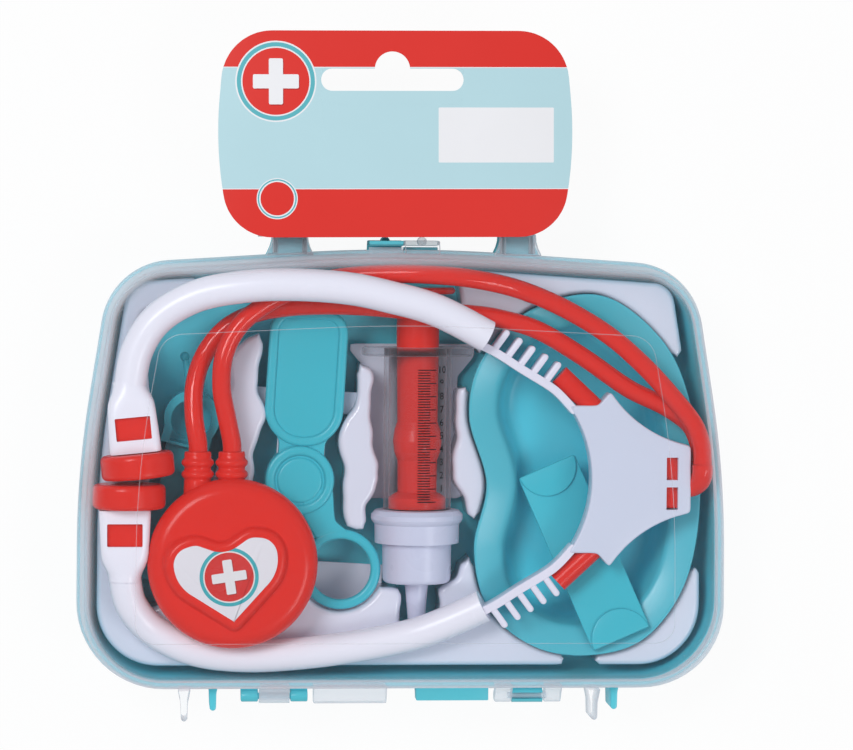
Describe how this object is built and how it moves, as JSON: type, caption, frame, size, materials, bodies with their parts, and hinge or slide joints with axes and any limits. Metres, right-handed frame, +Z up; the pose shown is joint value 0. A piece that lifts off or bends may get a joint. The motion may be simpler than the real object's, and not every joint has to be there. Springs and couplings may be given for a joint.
{
  "type": "toy doctor case",
  "caption": "Flat rounded toy case with a clear lid and carrying handle, holding a stethoscope, syringe, scissors, otoscope, dish and spatula in a formed tray under a header card.",
  "frame": {"origin": "on the table, under the middle of the whole outline with its header card", "axes": "+X across the case to the right as the clear lid is looked at, +Y from the hinges to the handle and card, +Z up from the table through the base to the lid"},
  "size_m": [0.2, 0.2112, 0.05],
  "materials": {
    "teal_plastic": "moulded gloss",
    "clear_plastic": "clear moulded gloss",
    "tray_white": "thin formed gloss sheet",
    "white_plastic": "moulded gloss",
    "red_plastic": "moulded gloss",
    "card": "printed coated board",
    "sticker": "printed gloss label"
  },
  "bodies": {
    "base": {"base_shell": "teal_plastic", "tray": "tray_white", "headset_frame": "white_plastic", "neck_rod_upper": "red_plastic", "neck_rod_lower": "red_plastic", "ear_tip_upper": "red_plastic", "ear_tip_lower": "red_plastic", "chestpiece_front": "red_plastic", "chestpiece_back": "red_plastic", "heart_sticker": "sticker", "tube_upper": "red_plastic", "tube_lower": "red_plastic", "tube_elbow": "red_plastic", "syringe_barrel": "clear_plastic", "syringe_cap": "white_plastic", "scissor_front": "teal_plastic", "kidney_dish": "teal_plastic", "spatula": "teal_plastic", "otoscope_handle": "teal_plastic", "otoscope_head": "teal_plastic"},
    "lid": {"lid_shell": "clear_plastic", "header_card": "card"},
    "plunger": {"syringe_plunger": "red_plastic"},
    "scissor_half": {"scissor_back": "teal_plastic"}
  },
  "joints": [
    {"name": "lid_hinge", "type": "hinge", "parent": "base", "child": "lid", "pos_m": [0, -0.1003, 0.025], "axis": [1, 0, 0], "range_deg": [0, 155]},
    {"name": "plunger_slide", "type": "slide", "parent": "base", "child": "plunger", "axis": [0, 1, 0], "range_m": [0, 0.006]},
    {"name": "scissor_pivot", "type": "hinge", "parent": "base", "child": "scissor_half", "pos_m": [-0.0313, -0.0341, 0.0137], "axis": [0, 0, 1], "range_deg": [-3, 0]}
  ]
}
